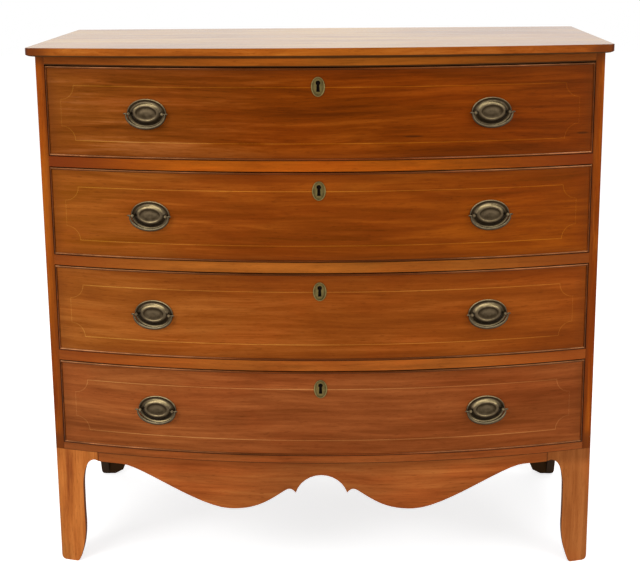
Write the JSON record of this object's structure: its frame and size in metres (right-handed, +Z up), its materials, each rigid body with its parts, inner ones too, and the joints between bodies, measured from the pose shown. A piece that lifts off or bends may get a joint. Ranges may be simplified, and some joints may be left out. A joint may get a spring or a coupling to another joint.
{
  "type": "bow front chest of drawers",
  "caption": "Bow front chest of drawers with cockbeaded fronts, oval bail pulls, keyhole plates, bracket feet and a shaped apron.",
  "frame": {"origin": "on the floor under the middle of the chest's outer box", "axes": "+X to the viewer's right along the width, +Y to the back, +Z up; the bowed front faces -Y"},
  "size_m": [1.018, 0.556, 0.971],
  "materials": {
    "cherry_front": "aged orange-brown cherry with a worn shellac sheen, grain along the width",
    "cherry_case": "aged cherry, redder at the rails' ends",
    "cherry_top": "polished cherry, faded and glossier than the front",
    "bead_wood": "dark stained bead, rubbed at its edge",
    "poplar": "bare secondary wood, dry and brown with age",
    "aged_brass": "aged brass, dark olive-brown with rubbed high spots",
    "lock_iron": "old dark iron"
  },
  "bodies": {
    "carcass": {"top_board": "cherry_top", "side_left": "cherry_case", "side_right": "cherry_case", "back_panel": "poplar", "top_rail": "cherry_case", "divider_1": "cherry_case", "divider_2": "cherry_case", "divider_3": "cherry_case", "bottom_board": "cherry_case", "front_apron": "cherry_case", "front_foot_left": "cherry_case", "front_foot_right": "cherry_case"},
    "drawer_1": {"drawer_1_front": "cherry_front", "drawer_1_cockbead": "bead_wood", "drawer_1_side_left": "poplar", "drawer_1_side_right": "poplar", "drawer_1_back": "poplar", "drawer_1_bottom": "poplar", "drawer_1_escutcheon": "aged_brass", "drawer_1_lock": "lock_iron", "drawer_1_pull_left": "aged_brass", "drawer_1_pull_right": "aged_brass"},
    "drawer_1_bail_left": {"drawer_1_bail_left": "aged_brass"},
    "drawer_1_bail_right": {"drawer_1_bail_right": "aged_brass"},
    "drawer_2": {"drawer_2_front": "cherry_front", "drawer_2_cockbead": "bead_wood", "drawer_2_side_left": "poplar", "drawer_2_side_right": "poplar", "drawer_2_back": "poplar", "drawer_2_bottom": "poplar", "drawer_2_escutcheon": "aged_brass", "drawer_2_lock": "lock_iron", "drawer_2_pull_left": "aged_brass", "drawer_2_pull_right": "aged_brass"},
    "drawer_2_bail_left": {"drawer_2_bail_left": "aged_brass"},
    "drawer_2_bail_right": {"drawer_2_bail_right": "aged_brass"},
    "drawer_3": {"drawer_3_front": "cherry_front", "drawer_3_cockbead": "bead_wood", "drawer_3_side_left": "poplar", "drawer_3_side_right": "poplar", "drawer_3_back": "poplar", "drawer_3_bottom": "poplar", "drawer_3_escutcheon": "aged_brass", "drawer_3_lock": "lock_iron", "drawer_3_pull_left": "aged_brass", "drawer_3_pull_right": "aged_brass"},
    "drawer_3_bail_left": {"drawer_3_bail_left": "aged_brass"},
    "drawer_3_bail_right": {"drawer_3_bail_right": "aged_brass"},
    "drawer_4": {"drawer_4_front": "cherry_front", "drawer_4_cockbead": "bead_wood", "drawer_4_side_left": "poplar", "drawer_4_side_right": "poplar", "drawer_4_back": "poplar", "drawer_4_bottom": "poplar", "drawer_4_escutcheon": "aged_brass", "drawer_4_lock": "lock_iron", "drawer_4_pull_left": "aged_brass", "drawer_4_pull_right": "aged_brass"},
    "drawer_4_bail_left": {"drawer_4_bail_left": "aged_brass"},
    "drawer_4_bail_right": {"drawer_4_bail_right": "aged_brass"}
  },
  "joints": [
    {"name": "drawer_1_slide", "type": "slide", "parent": "carcass", "child": "drawer_1", "axis": [0, -1, 0], "range_m": [0, 0.33]},
    {"name": "drawer_1_bail_left_swing", "type": "hinge", "parent": "drawer_1", "child": "drawer_1_bail_left", "pos_m": [-0.30012, -0.25362, 0.85837], "axis": [-0.9817, 0.1907, 0], "range_deg": [-5, 175]},
    {"name": "drawer_1_bail_right_swing", "type": "hinge", "parent": "drawer_1", "child": "drawer_1_bail_right", "pos_m": [0.30012, -0.25362, 0.85837], "axis": [-0.9817, -0.1907, 0], "range_deg": [-5, 175]},
    {"name": "drawer_2_slide", "type": "slide", "parent": "carcass", "child": "drawer_2", "axis": [0, -1, 0], "range_m": [0, 0.33]},
    {"name": "drawer_2_bail_left_swing", "type": "hinge", "parent": "drawer_2", "child": "drawer_2_bail_left", "pos_m": [-0.30012, -0.25362, 0.67863], "axis": [-0.9817, 0.1907, 0], "range_deg": [-5, 175]},
    {"name": "drawer_2_bail_right_swing", "type": "hinge", "parent": "drawer_2", "child": "drawer_2_bail_right", "pos_m": [0.30012, -0.25362, 0.67863], "axis": [-0.9817, -0.1907, 0], "range_deg": [-5, 175]},
    {"name": "drawer_3_slide", "type": "slide", "parent": "carcass", "child": "drawer_3", "axis": [0, -1, 0], "range_m": [0, 0.33]},
    {"name": "drawer_3_bail_left_swing", "type": "hinge", "parent": "drawer_3", "child": "drawer_3_bail_left", "pos_m": [-0.30012, -0.25362, 0.49888], "axis": [-0.9817, 0.1907, 0], "range_deg": [-5, 175]},
    {"name": "drawer_3_bail_right_swing", "type": "hinge", "parent": "drawer_3", "child": "drawer_3_bail_right", "pos_m": [0.30012, -0.25362, 0.49888], "axis": [-0.9817, -0.1907, 0], "range_deg": [-5, 175]},
    {"name": "drawer_4_slide", "type": "slide", "parent": "carcass", "child": "drawer_4", "axis": [0, -1, 0], "range_m": [0, 0.33]},
    {"name": "drawer_4_bail_left_swing", "type": "hinge", "parent": "drawer_4", "child": "drawer_4_bail_left", "pos_m": [-0.30012, -0.25362, 0.31912], "axis": [-0.9817, 0.1907, 0], "range_deg": [-5, 175]},
    {"name": "drawer_4_bail_right_swing", "type": "hinge", "parent": "drawer_4", "child": "drawer_4_bail_right", "pos_m": [0.30012, -0.25362, 0.31912], "axis": [-0.9817, -0.1907, 0], "range_deg": [-5, 175]}
  ]
}
